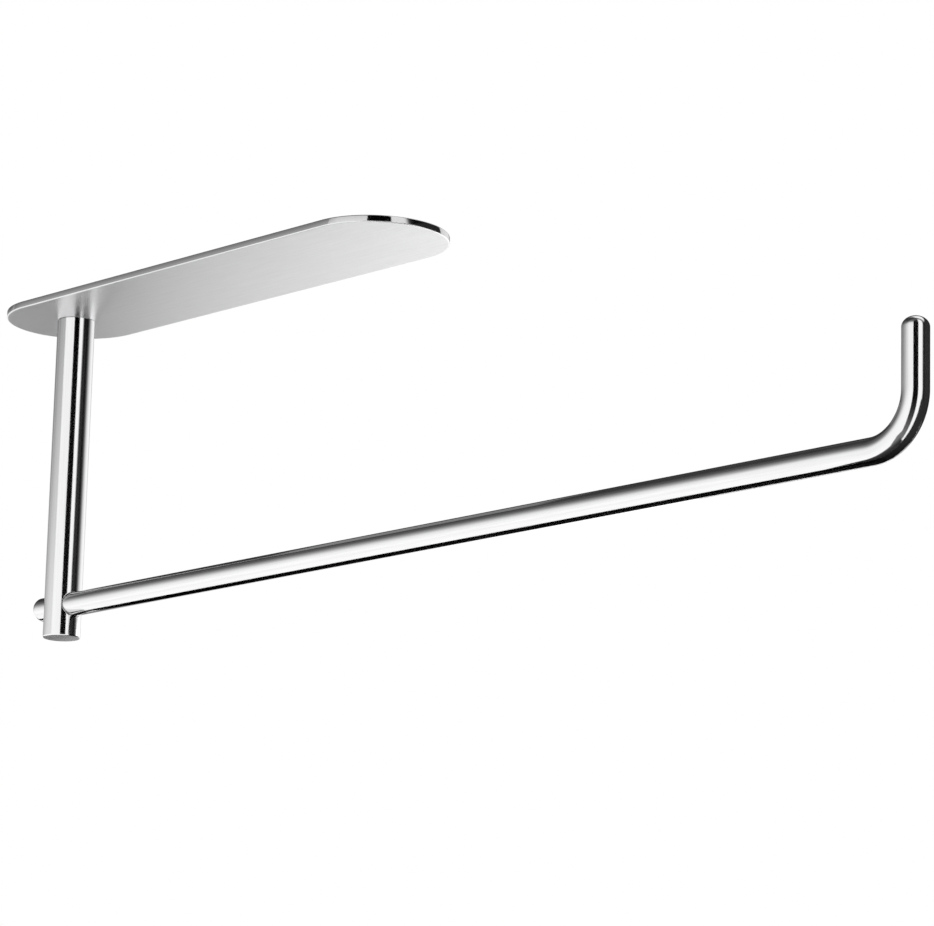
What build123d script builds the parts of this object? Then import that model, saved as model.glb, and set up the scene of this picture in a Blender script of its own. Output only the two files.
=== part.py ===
"""Under-cabinet paper towel holder: a flat oblong plate that sticks to the underside of a
cabinet, a round post hanging from one end of it, and a bent arm that the roll slides onto.

Frame: millimetres, +Z up. The origin is the centre of the mounting tape's upper face, which
is the face that meets the cabinet. +X runs along the plate towards the raised end of the arm,
and +Y points to the side that the arm's grub screw is driven from.
"""

import math
import os

from build123d import *

# ---- mounting plate ----------------------------------------------------------------------
plate_length = 171.0  # end to end, with fully rounded ends
plate_width = 41.0
plate_thickness = 2.0
plate_edge_break = 0.25  # small chamfer round both faces

# ---- mounting tape ------------------------------------------------------------------------
tape_thickness = 1.0
tape_inset = 5.0  # how far the tape stays inside the plate's outline

# ---- post --------------------------------------------------------------------------------
post_diameter = 11.0
post_length = 95.6  # from the plate's underside to the post's lower face
post_tail = 9.4  # from the arm's axis down to the post's lower face
post_edge_break = 0.3
cross_hole_chamfer = 0.4  # at both mouths of the hole that the arm passes through
chamfer_share_of_wall = 0.4  # the most of the wall beside that hole that its chamfer takes

# ---- arm ---------------------------------------------------------------------------------
arm_diameter = 7.0
arm_reach = 323.3  # from the post's axis to the axis of the raised end
arm_stub = 5.9  # how far the crown of the short end stands out beyond the post
arm_rise = 31.6  # from the arm's axis up to the crown of the raised end
arm_bend_radius = 13.5  # to the bar's centreline
arm_crown_height = 2.8  # height of the dome on each end
arm_hole_clearance = 0.05  # radial, between the bar and its hole in the post

# ---- countersunk screw that holds the post under the plate --------------------------------
post_screw_diameter = 4.0
post_screw_pitch = 0.7
post_screw_length = 12.0  # with its head
post_screw_head_diameter = 8.0
post_screw_head_land = 0.2  # straight rim above the head's cone
post_screw_recess = 0.05  # how far the head sits below the plate's upper face
post_screw_neck = 0.5  # plain shank between the head's cone and the thread
post_screw_socket = 2.5  # hexagon socket, across flats
post_screw_socket_depth = 1.4
post_screw_hole_diameter = 4.3  # clearance hole in the plate
post_screw_run_out = 2.0  # tapped depth beyond the screw's tip
tapped_mouth_chamfer = 0.3  # at the mouth of the post's tapped hole
drill_point_angle = 118.0  # of the tapped hole's conical floor, in degrees

# ---- grub screw that locks the arm in the post --------------------------------------------
grub_diameter = 3.0
grub_pitch = 0.5
grub_recess = 0.2  # how far its outer end sits inside the post's surface
grub_bite = 1.2  # how deep its cone point goes into the arm
grub_socket = 1.5  # hexagon socket, across flats
grub_socket_depth = 1.1

# ---- fits and thread form ----------------------------------------------------------------
seat_clearance = 0.02  # between a screw and the thread, countersink or dimple that it fits
thread_depth_share = 0.6  # thread depth as a share of its pitch
thread_crest_share = 0.25  # width of the flat crest as a share of the pitch
screw_tip_chamfer = 0.4
cut_overshoot = 1.0  # how far a cutting solid runs past the face that it opens

# ---- places worked out from the sizes above -----------------------------------------------
plate_top = -tape_thickness
plate_bottom = plate_top - plate_thickness
post_x = -(plate_length - plate_width) / 2  # at the centre of the plate's rounded end
post_radius = post_diameter / 2
arm_radius = arm_diameter / 2
arm_z = plate_bottom - post_length + post_tail
arm_short_x = post_x - post_radius - arm_stub
arm_end_x = post_x + arm_reach
cross_hole_radius = arm_radius + arm_hole_clearance
cross_hole_wall = post_radius - cross_hole_radius
screw_head_top = plate_top - post_screw_recess
screw_cone_top = screw_head_top - post_screw_head_land
screw_tip = screw_head_top - post_screw_length
countersink_radius = post_screw_head_diameter / 2 + seat_clearance
grub_outer_y = post_radius - grub_recess
grub_length = grub_outer_y - (arm_radius - grub_bite)


def oblong(length, width, bottom, height):
    """A flat plate with fully rounded ends, standing on the level bottom."""
    return Pos(0, 0, bottom) * extrude(SlotOverall(length, width), height)


def hexagon_prism(across_flats, depth):
    """A hexagon socket's hollow, from Z = 0 down to -depth."""
    return extrude(RegularPolygon(across_flats / 2, 6, major_radius=False), -depth)


def thread_profile(radius, pitch, top, bottom):
    """Points down the outline of ring-shaped threads, in whole turns between two levels.

    At least half a pitch above the bottom level is left as plain bar.
    """
    root = radius - thread_depth_share * pitch
    flank = pitch * (1 - thread_crest_share) / 2
    points = []
    for turn in range(int((top - bottom) / pitch - 0.5)):
        crest_end = top - (turn + thread_crest_share) * pitch
        points.append((radius, crest_end))
        points.append((root, crest_end - flank))
        points.append((radius, crest_end - 2 * flank))
    return points


def turned(points):
    """The solid made by turning a closed outline, given as (radius, level), about Z."""
    outline = Plane.XZ * make_face(Polyline(*points, close=True))
    return revolve(outline, Axis.Z)


def grub_envelope(overshoot):
    """The hollow that the grub screw fits: its 90 degree point is down, its outer end at Z = 0."""
    wide = grub_diameter / 2 + seat_clearance
    tip = -grub_length - seat_clearance * math.sqrt(2)
    return turned([(0, overshoot), (wide, overshoot), (wide, tip + wide), (0, tip)])


def on_grub_axis(shape):
    """Turns a shape made along Z so that its top faces +Y at the post's surface beside the arm."""
    return Pos(post_x, grub_outer_y, arm_z) * Rot(-90, 0, 0) * shape


def make_mounting_tape():
    """Foam tape that sticks the plate to the cabinet and hides the screw's head."""
    length = plate_length - 2 * tape_inset
    width = plate_width - 2 * tape_inset
    return oblong(length, width, plate_top, tape_thickness)


def make_mounting_plate():
    """Oblong plate with broken edges and a countersunk hole on the post's axis."""
    plate = oblong(plate_length, plate_width, plate_bottom, plate_thickness)
    rims = plate.faces().sort_by(Axis.Z)
    plate = chamfer(rims[0].edges() + rims[-1].edges(), plate_edge_break)
    hole_radius = post_screw_hole_diameter / 2
    cone_bottom = screw_cone_top - (countersink_radius - hole_radius)
    hole = turned([
        (0, plate_top + cut_overshoot),
        (countersink_radius, plate_top + cut_overshoot),
        (countersink_radius, screw_cone_top),
        (hole_radius, cone_bottom),
        (hole_radius, min(plate_bottom, cone_bottom) - cut_overshoot),
        (0, min(plate_bottom, cone_bottom) - cut_overshoot),
    ])
    return plate - Pos(post_x, 0, 0) * hole


def make_post_screw():
    """Countersunk hexagon-socket screw, driven down through the plate into the post."""
    radius = post_screw_diameter / 2
    head_radius = post_screw_head_diameter / 2
    cone_bottom = screw_cone_top - (head_radius - radius)
    thread_top = cone_bottom - post_screw_neck
    screw = turned([
        (0, screw_head_top),
        (head_radius, screw_head_top),
        (head_radius, screw_cone_top),
        (radius, cone_bottom),
        *thread_profile(radius, post_screw_pitch, thread_top, screw_tip + screw_tip_chamfer),
        (radius, screw_tip + screw_tip_chamfer),
        (radius - screw_tip_chamfer, screw_tip),
        (0, screw_tip),
    ])
    socket = Pos(0, 0, screw_head_top) * hexagon_prism(post_screw_socket, post_screw_socket_depth)
    return Pos(post_x, 0, 0) * (screw - socket)


def tapped_hole():
    """Blind hole in the post's upper end, with a mouth as wide as the countersink is there."""
    radius = post_screw_diameter / 2 + seat_clearance
    countersink_there = countersink_radius - (screw_cone_top - plate_bottom)
    mouth_radius = max(radius + tapped_mouth_chamfer, countersink_there)
    floor = screw_tip - post_screw_run_out
    point = radius / math.tan(math.radians(drill_point_angle / 2))
    return turned([
        (0, plate_bottom + cut_overshoot),
        (mouth_radius, plate_bottom + cut_overshoot),
        (mouth_radius, plate_bottom),
        (radius, plate_bottom - (mouth_radius - radius)),
        (radius, floor),
        (0, floor - point),
    ])


def make_post():
    """Solid round bar, tapped at the top for its screw and drilled across for the arm."""
    bar = Cylinder(post_radius, post_length, align=(Align.CENTER, Align.CENTER, Align.MAX))
    post = Pos(post_x, 0, plate_bottom) * bar
    ends = post.faces().filter_by(GeomType.PLANE)
    post = chamfer(ends.edges(), post_edge_break)
    post -= Pos(post_x, 0, arm_z) * Rot(0, 90, 0) * Cylinder(cross_hole_radius, 2 * post_diameter)
    mouths = post.edges().filter_by(is_cross_hole_mouth)
    post = chamfer(mouths, min(cross_hole_chamfer, chamfer_share_of_wall * cross_hole_wall))
    return post - Pos(post_x, 0, 0) * tapped_hole() - on_grub_axis(grub_envelope(cut_overshoot))


def is_cross_hole_mouth(edge):
    """True for the edges where two bars meet, the only ones that are neither round nor straight."""
    return edge.geom_type not in (GeomType.CIRCLE, GeomType.LINE)


def make_arm():
    """Round bar through the post, bent up at its far end, with a dome on both ends."""
    short_end = arm_short_x + arm_crown_height
    raised_end = arm_z + arm_rise - arm_crown_height
    path = FilletPolyline(
        (short_end, 0, arm_z),
        (arm_end_x, 0, arm_z),
        (arm_end_x, 0, raised_end),
        radius=arm_bend_radius,
    )
    section = Plane(origin=(short_end, 0, arm_z), z_dir=(1, 0, 0)) * Circle(arm_radius)
    arm = sweep(section, path)
    arm += Pos(arm_end_x, 0, raised_end) * dome()
    arm += Pos(short_end, 0, arm_z) * Rot(0, -90, 0) * dome()
    return arm - on_grub_axis(grub_envelope(0))


def dome():
    """Half of an ellipsoid that closes an end of the arm, standing on Z = 0."""
    outline = Curve() + [
        EllipticalCenterArc((0, 0), arm_radius, arm_crown_height, start_angle=0, arc_size=90),
        Polyline((0, arm_crown_height), (0, 0), (arm_radius, 0)),
    ]
    return revolve(Plane.XZ * make_face(outline), Axis.Z)


def make_arm_grub_screw():
    """Cone-point grub screw that bites into a dimple in the arm, so the arm can't turn or slide."""
    radius = grub_diameter / 2
    cone_top = -grub_length + radius
    screw = turned([
        (0, 0),
        (radius, 0),
        *thread_profile(radius, grub_pitch, 0, cone_top),
        (radius, cone_top),
        (0, -grub_length),
    ])
    return on_grub_axis(screw - hexagon_prism(grub_socket, grub_socket_depth))


PARTS = {
    "mounting_plate": make_mounting_plate,
    "mounting_tape": make_mounting_tape,
    "post": make_post,
    "post_screw": make_post_screw,
    "arm": make_arm,
    "arm_grub_screw": make_arm_grub_screw,
}

os.makedirs("parts", exist_ok=True)
for node, make in PARTS.items():
    export_step(make(), f"parts/{node}.step")
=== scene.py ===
"""Finished look of an under-cabinet paper towel holder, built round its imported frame.

Everything is in metres unless it says millimetres, in the frame's own axes: +Z points up into
the cabinet, +X along the plate towards the raised end of the arm. Each piece takes its size and
place from the frame's boxes. Only the sizes that no box can give are fields of its class.
"""

from __future__ import annotations

import logging
import math
from collections.abc import Iterable, Mapping, Sequence
from dataclasses import dataclass, field, replace
from enum import Enum
from typing import Any

import bmesh
import bpy
from mathutils import Matrix, Vector

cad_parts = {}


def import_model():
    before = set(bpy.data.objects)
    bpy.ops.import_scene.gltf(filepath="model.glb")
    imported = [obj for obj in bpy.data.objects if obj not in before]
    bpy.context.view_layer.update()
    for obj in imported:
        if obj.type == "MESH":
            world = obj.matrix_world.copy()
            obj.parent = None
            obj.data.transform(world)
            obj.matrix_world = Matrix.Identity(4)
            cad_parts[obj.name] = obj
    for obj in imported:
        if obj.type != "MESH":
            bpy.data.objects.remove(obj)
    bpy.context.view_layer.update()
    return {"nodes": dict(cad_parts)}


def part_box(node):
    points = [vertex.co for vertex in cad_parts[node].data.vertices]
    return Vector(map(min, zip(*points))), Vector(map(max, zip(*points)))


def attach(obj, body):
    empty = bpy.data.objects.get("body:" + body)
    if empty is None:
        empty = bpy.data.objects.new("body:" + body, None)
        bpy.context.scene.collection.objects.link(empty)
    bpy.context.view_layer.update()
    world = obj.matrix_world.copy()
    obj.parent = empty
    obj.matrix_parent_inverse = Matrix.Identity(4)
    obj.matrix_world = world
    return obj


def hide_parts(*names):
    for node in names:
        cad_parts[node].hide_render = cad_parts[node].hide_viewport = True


LOG = logging.getLogger("towel_holder")
MM = 0.001
BODY = "root"
SHARP_ANGLE = math.radians(32)  # edges that turn by more than this stay sharp
BAR_PLACE = "bar_place"  # attribute: where a point would be if the bent bar were straight
STEEL_BLUE = 0.005  # how much more blue than red and green the steel reflects

Levels = tuple[tuple[float, float], ...]  # (place, brightness) pairs, in order
Ring = list[bmesh.types.BMVert]


# ---- Node trees -----------------------------------------------------------------------------


class Signal:
    """A node's output socket that takes part in arithmetic."""

    def __init__(self, graph: Graph, socket: bpy.types.NodeSocket) -> None:
        """Wraps one output socket of a graph."""
        self.graph = graph
        self.socket = socket

    def out(self, name: str | int) -> Signal:
        """Another output of the same node."""
        return Signal(self.graph, self.socket.node.outputs[name])

    def _math(self, operation: str, *operands: Any, clamped: bool = False) -> Signal:
        """A Math node on these operands, kept between 0 and 1 where clamped."""
        places = dict(enumerate(operands))
        return self.graph.node("ShaderNodeMath", places, operation=operation, use_clamp=clamped)

    def __add__(self, other: Any) -> Signal:
        """self + other."""
        return self._math("ADD", self, other)

    __radd__ = __add__

    def __sub__(self, other: Any) -> Signal:
        """self - other."""
        return self._math("SUBTRACT", self, other)

    def __rsub__(self, other: Any) -> Signal:
        """other - self."""
        return self._math("SUBTRACT", other, self)

    def __mul__(self, other: Any) -> Signal:
        """self * other."""
        return self._math("MULTIPLY", self, other)

    __rmul__ = __mul__

    def __truediv__(self, other: Any) -> Signal:
        """self / other."""
        return self._math("DIVIDE", self, other)

    def __rtruediv__(self, other: Any) -> Signal:
        """other / self."""
        return self._math("DIVIDE", other, self)

    def __pow__(self, other: Any) -> Signal:
        """self to the power of other."""
        return self._math("POWER", self, other)

    def absolute(self) -> Signal:
        """The size of the value without its sign."""
        return self._math("ABSOLUTE", self)

    def sine(self) -> Signal:
        """The sine of an angle in radians."""
        return self._math("SINE", self)

    def cosine(self) -> Signal:
        """The cosine of an angle in radians."""
        return self._math("COSINE", self)

    def fraction(self) -> Signal:
        """What is left after the whole number below the value is taken away."""
        return self._math("FRACT", self)

    def clamped(self) -> Signal:
        """The value kept between 0 and 1."""
        return self._math("ADD", self, 0.0, clamped=True)

    def at_least(self, low: Any) -> Signal:
        """The larger of the value and low."""
        return self._math("MAXIMUM", self, low)

    def at_most(self, high: Any) -> Signal:
        """The smaller of the value and high."""
        return self._math("MINIMUM", self, high)

    def angle_with(self, across: Signal) -> Signal:
        """The angle in radians of the point (across, self) about the origin."""
        return self._math("ARCTAN2", self, across)

    def wrapped(self, half_turn: float) -> Signal:
        """The value brought between -half_turn and half_turn by whole turns."""
        return self._math("WRAP", self, half_turn, -half_turn)

    def smooth(self, low: float, high: float) -> Signal:
        """A smooth step that is 0 at low and 1 at high, either of which may be the larger."""
        places = {"Value": self, "From Min": low, "From Max": high}
        return self.graph.node("ShaderNodeMapRange", places, interpolation_type="SMOOTHSTEP")

    def window(self, half_width: float, feather: float) -> Signal:
        """1 where the value is within half_width of 0, and 0 beyond it, with soft edges."""
        return self.absolute().smooth(half_width + feather / 2, half_width - feather / 2)


class Graph:
    """One node tree, with the single method that adds a node to it."""

    def __init__(self, tree: bpy.types.NodeTree) -> None:
        """Empties the tree and works on it."""
        self.tree = tree
        tree.nodes.clear()

    def node(
        self, kind: str, places: Mapping[str | int, Any] | None = None, **settings: Any
    ) -> Signal:
        """Adds a node.

        Args:
            kind: the node's type.
            places: the values or signals of its input sockets, by name or number.
            settings: its settings, set first; stops are a ramp's (place, brightness) pairs.

        Returns:
            The node's first enabled output, or its first input where it has no output.
        """
        made = self.tree.nodes.new(kind)
        for key, value in settings.items():
            if key == "stops":
                self._set_stops(made.color_ramp, value)
            else:
                setattr(made, key, value)
        for key, value in (places or {}).items():
            if isinstance(value, Signal):
                self.tree.links.new(value.socket, made.inputs[key])
            else:
                made.inputs[key].default_value = value
        outputs = [socket for socket in made.outputs if socket.enabled]
        return Signal(self, (outputs or list(made.inputs))[0])

    @staticmethod
    def _set_stops(ramp: bpy.types.ColorRamp, stops: Levels) -> None:
        """Gives a ramp its stops.

        Args:
            ramp: the ramp, with the two stops that it is made with.
            stops: (place, brightness) pairs, in order.
        """
        while len(ramp.elements) < len(stops):
            ramp.elements.new(1.0)
        for element, (place, level) in zip(ramp.elements, stops):
            element.position = place
            element.color = (level, level, level, 1.0)

    def blend(self, factor: Any, first: Any, second: Any) -> Signal:
        """The colour between two colours that has this much of the second, from 0 to 1."""
        places = {0: factor, 6: first, 7: second}
        return self.node("ShaderNodeMix", places, data_type="RGBA").out(2)

    def noise(self, place: Signal, scale: Sequence[float], detail: float = 2.0) -> Signal:
        """Noise between 0 and 1, stretched by its own scale along each axis.

        Args:
            place: the point that the pattern is read at.
            scale: how many features there are to a metre, along X, Y and Z.
            detail: how many finer layers are added.

        Returns:
            The noise.
        """
        stretched = self.node("ShaderNodeMapping", {"Vector": place, "Scale": tuple(scale)})
        places = {"Vector": stretched, "Scale": 1.0, "Detail": detail}
        return self.node("ShaderNodeTexNoise", places)

    def own_place(self) -> Signal:
        """The shaded point in the object's own axes."""
        return self.node("ShaderNodeTexCoord").out("Object")

    def parts(self, vector: Signal) -> tuple[Signal, Signal, Signal]:
        """The X, Y and Z of a vector."""
        x = self.node("ShaderNodeSeparateXYZ", {0: vector})
        return x, x.out("Y"), x.out("Z")

    def point_curve(self, count: Any, position: Signal) -> Signal:
        """A curve through points whose places follow from their index.

        Args:
            count: how many points there are.
            position: the place of each point.

        Returns:
            The curve.
        """
        line = self.node("GeometryNodeMeshLine", {"Count": count})
        placed = self.node("GeometryNodeSetPosition", {"Geometry": line, "Position": position})
        return self.node("GeometryNodeMeshToCurve", {"Mesh": placed})

    def stored(self, geometry: Signal, name: str, value: Signal, kind: str) -> Signal:
        """The geometry with a value of this kind stored on its points, under this name."""
        places = {"Geometry": geometry, "Name": name, "Value": value}
        return self.node(
            "GeometryNodeStoreNamedAttribute", places, data_type=kind, domain="POINT"
        )

    def surface(self, looks: Mapping[str, Any], height: Signal, depth: float) -> None:
        """Ends a material in a shader with a bump.

        Args:
            looks: the values or signals of the shader's sockets.
            height: height of the bump, from 0 to 1.
            depth: how high 1 is, in millimetres.
        """
        bump = {"Strength": 1.0, "Distance": depth * MM, "Height": height}
        normal = self.node("ShaderNodeBump", bump)
        shader = self.node("ShaderNodeBsdfPrincipled", {**looks, "Normal": normal})
        self.node("ShaderNodeOutputMaterial", {"Surface": shader})


def new_material(name: str) -> tuple[bpy.types.Material, Graph]:
    """Makes an empty material.

    Args:
        name: its name.

    Returns:
        The material and its graph.
    """
    material = bpy.data.materials.new(name)
    material.use_nodes = True
    return material, Graph(material.node_tree)


# ---- Finishes -------------------------------------------------------------------------------


class Grain(Enum):
    """Which way the polishing marks run on a piece of steel."""

    ALONG_X = "along the plate"
    ALONG_Z = "along the post"
    ALONG_BAR = "along the bent bar"
    TURNED = "round the post's axis"


@dataclass(frozen=True)
class SteelFinish:
    """Stainless steel with fine marks from a belt or a lathe.

    Attributes:
        name: the material's name.
        grain: which way the marks run.
        brightness: reflectance of the clean metal.
        roughness: roughness between the marks.
        spacing: millimetres between marks.
        length: millimetres from one end of a mark to the other.
        depth: height of the marks as bump, in millimetres.
        tint: how much darker a mark's hollow is.
        handling: how much roughness the smears of handling add.
        smears: how many smears there are to a metre.
        axis: point that turned marks run round.
    """

    name: str
    grain: Grain
    brightness: float
    roughness: float
    spacing: float
    length: float
    depth: float
    tint: float
    handling: float = 0.03
    smears: float = 45.0
    axis: tuple[float, float, float] = (0.0, 0.0, 0.0)

    def build(self) -> bpy.types.Material:
        """Makes the Blender material.

        Returns:
            The material.
        """
        material, graph = new_material(self.name)
        place, scale = self._place_and_scale(graph)
        marks = graph.noise(place, scale, detail=3.0)
        bands = graph.noise(place, [value / 3 for value in scale], detail=1.0)
        smeared = graph.noise(place, [self.smears] * 3).smooth(0.45, 0.75)
        hollows = (marks * 0.75 + bands * 0.25).smooth(0.35, 0.7)
        clean = (self.brightness, self.brightness, self.brightness + STEEL_BLUE)
        dark = tuple(value * (1 - self.tint) for value in clean)
        colour = graph.blend(hollows, clean + (1.0,), dark + (1.0,))
        roughness = self.roughness + hollows * (self.roughness * 0.35) + smeared * self.handling
        looks = {"Base Color": colour, "Metallic": 1.0, "Roughness": roughness}
        graph.surface(looks, marks, self.depth)
        return material

    def _place_and_scale(self, graph: Graph) -> tuple[Signal, list[float]]:
        """Where the marks are read, and how many of them there are to a metre on each axis.

        Args:
            graph: the material's graph.

        Returns:
            The point as a signal, and the scale along its three axes.
        """
        across, along = 1 / (self.spacing * MM), 1 / (self.length * MM)
        if self.grain is Grain.ALONG_BAR:
            place = graph.node("ShaderNodeAttribute", attribute_name=BAR_PLACE).out("Vector")
            return place, [along, across, across]
        if self.grain is Grain.ALONG_X:
            return graph.own_place(), [along, across, across]
        if self.grain is Grain.ALONG_Z:
            return graph.own_place(), [across, across, along]
        return self._turned_place(graph), [across, along, across]

    def _turned_place(self, graph: Graph) -> Signal:
        """Where turned marks are read: (distance from the axis, angle, height).

        Args:
            graph: the material's graph.

        Returns:
            The point, whose angle is a thousandth of a radian to a unit.
        """
        places = {0: graph.own_place(), 1: self.axis}
        centred = graph.node("ShaderNodeVectorMath", places, operation="SUBTRACT")
        x, y, z = graph.parts(centred)
        distance = (x * x + y * y) ** 0.5
        angle = y.angle_with(x) * MM
        return graph.node("ShaderNodeCombineXYZ", {"X": distance, "Y": angle, "Z": z})


@dataclass(frozen=True)
class FoamFinish:
    """Dark acrylic foam of a mounting tape, with fine closed cells.

    Attributes:
        name: the material's name.
        colour: colour between the cells.
        cell_colour: colour of a cell that was cut open.
        cell_size: millimetres from one cell to the next.
        cell_depth: depth of a cut cell as bump, in millimetres.
        roughness: roughness of the foam.
        tack: how far the roughness drops in the patches where the adhesive is wetter.
        patches: how many of those patches there are to a metre.
    """

    name: str = "acrylic_foam"
    colour: tuple[float, float, float] = (0.035, 0.035, 0.038)
    cell_colour: tuple[float, float, float] = (0.018, 0.018, 0.02)
    cell_size: float = 0.35
    cell_depth: float = 0.03
    roughness: float = 0.78
    tack: float = 0.18
    patches: float = 60.0

    def build(self) -> bpy.types.Material:
        """Makes the Blender material.

        Returns:
            The material.
        """
        material, graph = new_material(self.name)
        place = graph.own_place()
        spread = {"Vector": place, "Scale": 1 / (self.cell_size * MM), "Randomness": 1.0}
        cells = graph.node("ShaderNodeTexVoronoi", spread, feature="F1")
        walls = cells.out("Distance").smooth(0.15, 0.55)
        clouds = graph.noise(place, [self.patches] * 3).smooth(0.35, 0.7)
        colour = graph.blend(walls, self.cell_colour + (1.0,), self.colour + (1.0,))
        looks = {"Base Color": colour, "Roughness": self.roughness - clouds * self.tack}
        graph.surface(looks, walls, self.cell_depth)
        return material


# ---- Meshes ---------------------------------------------------------------------------------


class RingMesh:
    """A closed mesh that is made ring by ring."""

    def __init__(self) -> None:
        """Starts with no rings."""
        self.bm = bmesh.new()

    def ring(self, points: Iterable[Sequence[float]]) -> Ring:
        """New vertices at these points."""
        return [self.bm.verts.new(point) for point in points]

    def bridge(self, first: Ring, second: Ring, material: int = 0) -> None:
        """Joins two rings of the same count with a band of four-sided faces.

        Args:
            first: one ring.
            second: the other ring, whose vertices are in the same order.
            material: index of the faces' material.
        """
        after_first, after_second = first[1:] + first[:1], second[1:] + second[:1]
        for corners in zip(first, after_first, after_second, second):
            self.bm.faces.new(corners).material_index = material

    def bridge_all(self, rings: Sequence[Ring], material: int = 0) -> None:
        """Joins each ring to the next."""
        for first, second in zip(rings, rings[1:]):
            self.bridge(first, second, material)

    def point_cap(self, ring: Ring, point: Sequence[float], material: int = 0) -> None:
        """Closes a ring with triangles that meet at a point.

        Args:
            ring: the ring.
            point: the point.
            material: index of the faces' material.
        """
        pole = self.bm.verts.new(point)
        for near, after in zip(ring, ring[1:] + ring[:1]):
            self.bm.faces.new((near, after, pole)).material_index = material

    def strip_cap(self, ring: Ring) -> None:
        """Closes a ring with strips across it.

        Args:
            ring: the ring, with an even count, whose vertex k mirrors its vertex count - k.
        """
        for k in range(len(ring) // 2):
            corners = [ring[k], ring[k + 1], ring[-k - 1], ring[-k]]
            self.bm.faces.new(list(dict.fromkeys(corners)))

    def fill_between(self, outer: Ring, inner: Ring) -> None:
        """Fills the flat area between a ring and a smaller one inside it with triangles.

        Args:
            outer: the larger ring.
            inner: the smaller ring.
        """
        pairs = list(zip(outer, outer[1:] + outer[:1])) + list(zip(inner, inner[1:] + inner[:1]))
        edges = [self.bm.edges.get(pair) for pair in pairs]
        bmesh.ops.triangle_fill(self.bm, use_beauty=True, use_dissolve=False, edges=edges)

    def finish(self, name: str, materials: Sequence[bpy.types.Material]) -> bpy.types.Object:
        """Turns the faces outwards and makes the object.

        Args:
            name: the object's name.
            materials: its materials, in slot order.

        Returns:
            The object, linked to the scene.
        """
        bmesh.ops.recalc_face_normals(self.bm, faces=self.bm.faces)
        mesh = bpy.data.meshes.new(name)
        self.bm.to_mesh(mesh)
        self.bm.free()
        return smooth_object(name, mesh, materials)


def linked(name: str, data: Any) -> bpy.types.Object:
    """Makes an object and links it to the scene.

    Args:
        name: the object's name.
        data: its mesh or camera.

    Returns:
        The object.
    """
    made = bpy.data.objects.new(name, data)
    bpy.context.scene.collection.objects.link(made)
    return made


def smooth_object(
    name: str, mesh: bpy.types.Mesh, materials: Sequence[bpy.types.Material]
) -> bpy.types.Object:
    """Links a smooth-shaded object whose sharp edges stay sharp.

    Args:
        name: the object's name.
        mesh: its mesh.
        materials: its materials, in slot order.

    Returns:
        The object.
    """
    for material in materials:
        mesh.materials.append(material)
    mesh.shade_smooth()
    mesh.set_sharp_from_angle(angle=SHARP_ANGLE)
    return linked(name, mesh)


def flat_panel(
    name: str, corners: Sequence[Sequence[float]], material: bpy.types.Material
) -> bpy.types.Object:
    """Args:
        name: the object's name.
        corners: its corners in order.
        material: its material.

    Returns:
        The object, with a UV map in which its corners go round the unit square.
    """
    mesh = bpy.data.meshes.new(name)
    mesh.from_pydata([Vector(corner) for corner in corners], [], [(0, 1, 2, 3)])
    shares = mesh.uv_layers.new(name="share")
    for loop, place in zip(shares.data, ((0, 0), (1, 0), (1, 1), (0, 1))):
        loop.uv = place
    mesh.materials.append(material)
    made = linked(name, mesh)
    return made


def circle(centre: Sequence[float], radius: float, level: float, count: int) -> list[Vector]:
    """Points round a level circle about a vertical axis.

    Args:
        centre: the axis as (x, y).
        radius: the circle's radius.
        level: its height.
        count: how many points there are.

    Returns:
        The points, anticlockwise from +X.
    """
    turns = (2 * math.pi * k / count for k in range(count))
    return [
        Vector((centre[0] + radius * math.cos(a), centre[1] + radius * math.sin(a), level))
        for a in turns
    ]


def hexagon(across_flats: float, level: float, count: int) -> list[Vector]:
    """Points round a level hexagon about the Z axis.

    Args:
        across_flats: its width.
        level: its height.
        count: how many points there are.

    Returns:
        The points, at the same angles as a circle's.
    """
    points = []
    for k in range(count):
        angle = 2 * math.pi * k / count
        from_flat = (angle + math.pi / 6) % (math.pi / 3) - math.pi / 6
        radius = across_flats / 2 / math.cos(from_flat)
        points.append(Vector((radius * math.cos(angle), radius * math.sin(angle), level)))
    return points


def oblong(
    size: Vector, inset: float, level: float, end_count: int, side_count: int
) -> list[Vector]:
    """Points round a level oblong with fully rounded ends, centred on the origin.

    Args:
        size: its length along X and its width along Y.
        inset: how far the points lie inside that outline.
        level: its height.
        end_count: segments in each rounded end.
        side_count: segments in each straight side.

    Returns:
        The points, anticlockwise from the middle of the end at +X.
    """
    radius = size.y / 2 - inset
    straight = (size.x - size.y) / 2
    quarter = end_count // 2
    points = []
    for k in range(quarter + 1):
        angle = math.pi / 2 * k / quarter
        points.append((straight + radius * math.cos(angle), radius * math.sin(angle)))
    for k in range(1, side_count // 2 + 1):
        points.append((straight * (1 - 2 * k / side_count), radius))
    upper = points + [(-x, y) for x, y in reversed(points[:-1])]
    lower = [(x, -y) for x, y in reversed(upper[1:-1])]
    return [Vector((x, y, level)) for x, y in upper + lower]


def rounded_edge(reach: float, steps: int) -> list[tuple[float, float]]:
    """A quarter round of this radius, from the flat face's edge to the upright side.

    Args:
        reach: the quarter round's radius.
        steps: segments along it.

    Returns:
        (inset, rise) pairs, from (reach, 0) to (0, reach).
    """
    angles = (math.pi / 2 * k / steps for k in range(steps + 1))
    return [(reach * (1 - math.sin(a)), reach * (1 - math.cos(a))) for a in angles]


# ---- Geometry node trees --------------------------------------------------------------------


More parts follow.
